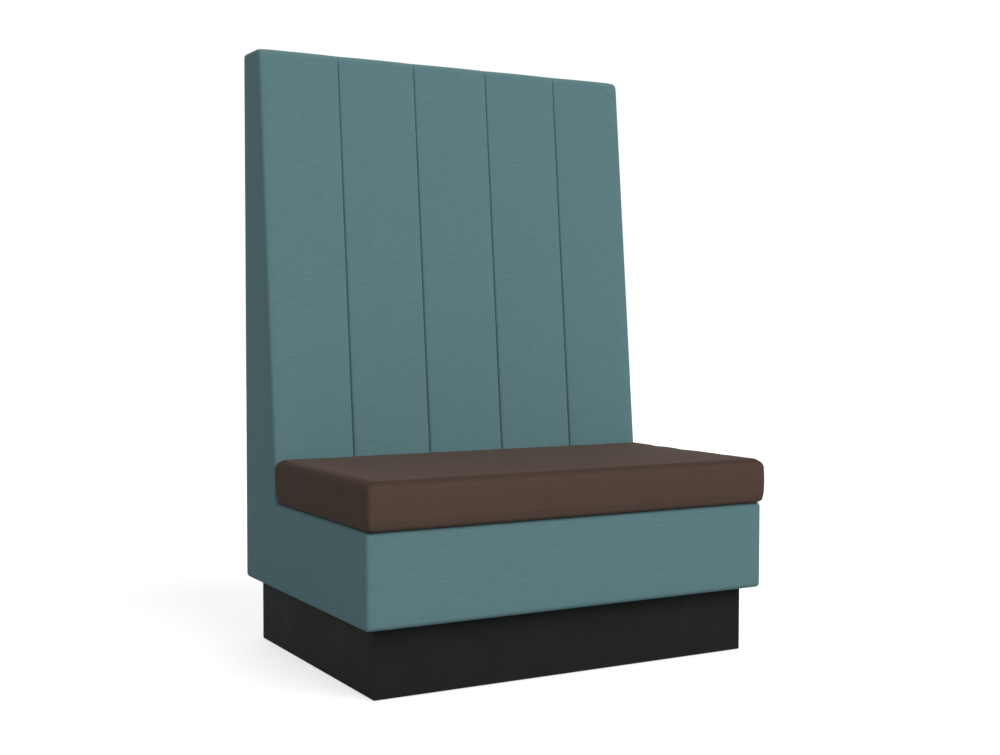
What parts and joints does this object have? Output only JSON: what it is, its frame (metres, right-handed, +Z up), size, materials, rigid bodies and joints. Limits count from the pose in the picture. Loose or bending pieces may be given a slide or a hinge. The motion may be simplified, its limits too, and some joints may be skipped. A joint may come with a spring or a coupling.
{
  "type": "restaurant booth bench",
  "caption": "High-backed upholstered booth bench with a panelled back, a lift-out seat cushion and a set-back plinth.",
  "frame": {"origin": "on the floor, under the middle of the bench's bounding box", "axes": "+X along the bench to the sitter's left, +Y from the seat's front to the outside back, +Z up"},
  "size_m": [1.005, 0.722, 1.4],
  "materials": {
    "teal_cloth": "matte",
    "brown_leathercloth": "satin",
    "black_laminate": "matte",
    "plywood": "matte",
    "softwood": "matte",
    "upholstery_foam": "matte",
    "wadding": "matte",
    "black_cloth": "matte",
    "zinc_steel": "satin",
    "nylon": "satin"
  },
  "bodies": {
    "carcass": {"plinth_front_board": "black_laminate", "plinth_rear_board": "black_laminate", "plinth_left_board": "black_laminate", "plinth_right_board": "black_laminate", "plinth_cross_rail": "plywood", "plinth_corner_blocks": "softwood", "plinth_glides": "nylon", "plinth_screws": "zinc_steel", "base_board": "plywood", "left_gable": "plywood", "right_gable": "plywood", "base_front_board": "plywood", "front_seat_rail": "softwood", "left_seat_rail": "softwood", "right_seat_rail": "softwood", "rear_deck_board": "plywood", "centre_divider": "plywood", "back_front_ply": "plywood", "outside_back_ply": "plywood", "back_top_rail": "plywood", "back_middle_rail": "plywood", "left_back_rib": "plywood", "right_back_rib": "plywood", "front_board_screws": "zinc_steel", "gable_screws": "zinc_steel", "back_foam_1": "upholstery_foam", "back_foam_2": "upholstery_foam", "back_foam_3": "upholstery_foam", "back_foam_4": "upholstery_foam", "back_foam_5": "upholstery_foam", "left_side_pad": "wadding", "right_side_pad": "wadding", "base_front_pad": "wadding", "back_top_pad": "wadding", "outside_back_wadding": "wadding", "left_side_cover": "teal_cloth", "right_side_cover": "teal_cloth", "base_front_cover": "teal_cloth", "inside_back_cover": "teal_cloth", "outside_back_cover": "teal_cloth", "cover_staples": "zinc_steel"},
    "seat": {"seat_board": "plywood", "seat_foam": "upholstery_foam", "seat_cover": "brown_leathercloth", "seat_underside_cloth": "black_cloth", "seat_locating_battens": "softwood", "batten_screws": "zinc_steel", "seat_staples": "zinc_steel"}
  },
  "joints": [
    {"name": "seat_lift", "type": "slide", "parent": "carcass", "child": "seat", "axis": [0, 0, 1], "range_m": [0, 0.3]}
  ]
}
